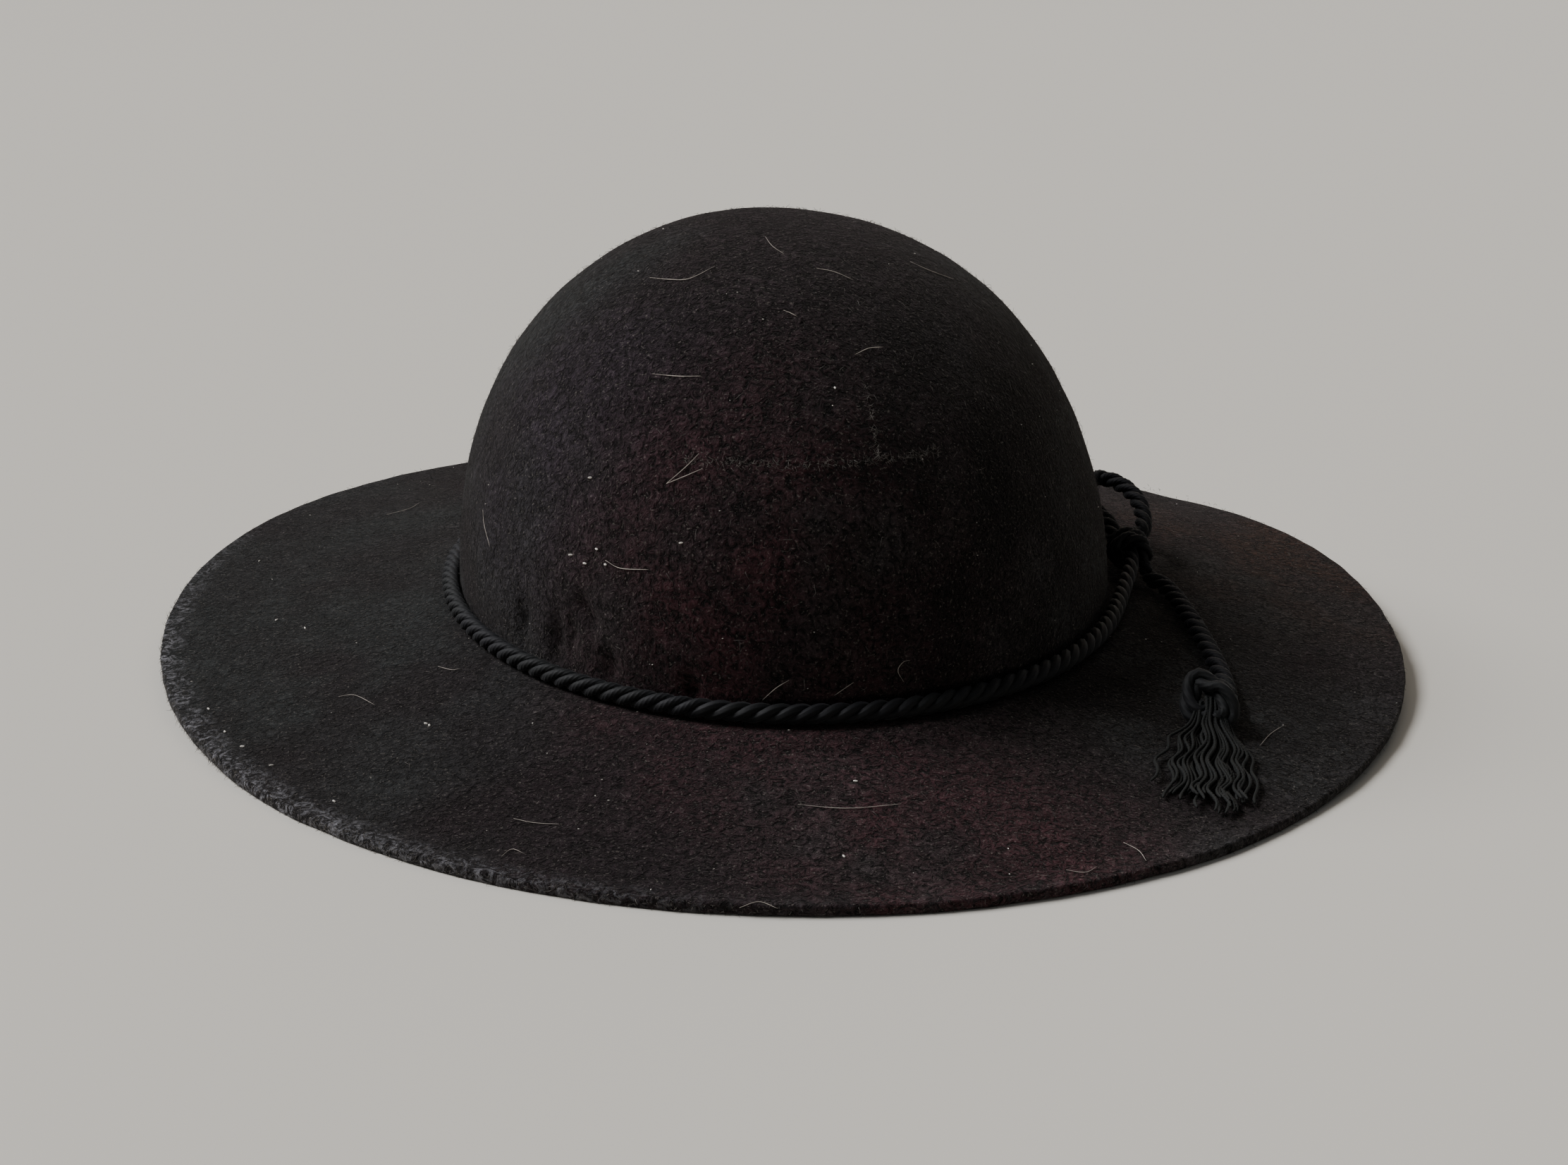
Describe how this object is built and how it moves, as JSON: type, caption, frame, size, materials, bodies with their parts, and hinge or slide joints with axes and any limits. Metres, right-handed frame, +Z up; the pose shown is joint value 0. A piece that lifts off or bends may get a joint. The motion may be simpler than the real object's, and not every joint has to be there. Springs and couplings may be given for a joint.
{
  "type": "round-crowned wide-brimmed felt hat",
  "caption": "Black wool felt hat with a round crown, a wide flat brim, a twisted cord round the crown, and a knotted tassel at the side.",
  "frame": {"origin": "centre of the brim's outline, on the surface that the hat stands on", "axes": "+Z up through the crown; +Y towards the back of the hat, along its length; +X towards the wearer's left, where the cord is knotted"},
  "size_m": [0.334, 0.3462, 0.1142],
  "materials": {
    "felt": "blocked wool felt with a short worn nap, matt",
    "ribbon": "grosgrain, cross-ribbed, soft sheen",
    "thread": "spun sewing thread",
    "label": "plain woven, blank",
    "cord": "three-strand twisted cord, matt with a faint thread sheen",
    "yarn": "loose wavy yarn, matt"
  },
  "bodies": {
    "hat": {"felt_body": "felt", "sweatband": "ribbon", "sweatband_thread": "thread", "size_label": "label"},
    "cord_ring": {"cord_band": "cord", "cord_knot": "cord"},
    "loop": {"cord_loop": "cord"},
    "tail_root": {"tail_root": "cord"},
    "tail_upper": {"tail_upper": "cord"},
    "tail_lower": {"tail_lower": "cord"},
    "tassel": {"tassel_knot": "cord", "fringe_yarn_01": "yarn", "fringe_yarn_02": "yarn", "fringe_yarn_03": "yarn", "fringe_yarn_04": "yarn", "fringe_yarn_05": "yarn", "fringe_yarn_06": "yarn", "fringe_yarn_07": "yarn", "fringe_yarn_08": "yarn", "fringe_yarn_09": "yarn", "fringe_yarn_10": "yarn", "fringe_yarn_11": "yarn", "fringe_yarn_12": "yarn", "fringe_yarn_13": "yarn", "fringe_yarn_14": "yarn", "fringe_yarn_15": "yarn", "fringe_yarn_16": "yarn", "fringe_yarn_17": "yarn", "fringe_yarn_18": "yarn", "fringe_yarn_19": "yarn", "fringe_yarn_20": "yarn", "fringe_yarn_21": "yarn", "fringe_yarn_22": "yarn", "fringe_yarn_23": "yarn", "fringe_yarn_24": "yarn"}
  },
  "joints": [
    {"name": "cord_lift", "type": "slide", "parent": "hat", "child": "cord_ring", "axis": [0, 0, 1], "range_m": [0, 0.12]},
    {"name": "loop_lift", "type": "hinge", "parent": "cord_ring", "child": "loop", "pos_m": [0.0945, 0.0202, 0.0248], "axis": [1, 0, 0], "range_deg": [0, 60]},
    {"name": "tail_swing", "type": "hinge", "parent": "cord_ring", "child": "tail_root", "pos_m": [0.0987, 0.0018, 0.01602], "axis": [0, 0, 1], "range_deg": [0, 60]},
    {"name": "tail_lift", "type": "hinge", "parent": "tail_root", "child": "tail_upper", "pos_m": [0.1037, -0.0046, 0.01534], "axis": [-0.9981, -0.061, 0], "range_deg": [0, 85]},
    {"name": "tail_bend", "type": "hinge", "parent": "tail_upper", "child": "tail_lower", "pos_m": [0.1088, -0.034, 0.01366], "axis": [-0.9998, 0.0195, 0], "range_deg": [0, 75]},
    {"name": "tassel_flex", "type": "hinge", "parent": "tail_lower", "child": "tassel", "pos_m": [0.108, -0.075, 0.01063], "axis": [-0.966, 0.2587, 0], "range_deg": [0, 75]}
  ]
}
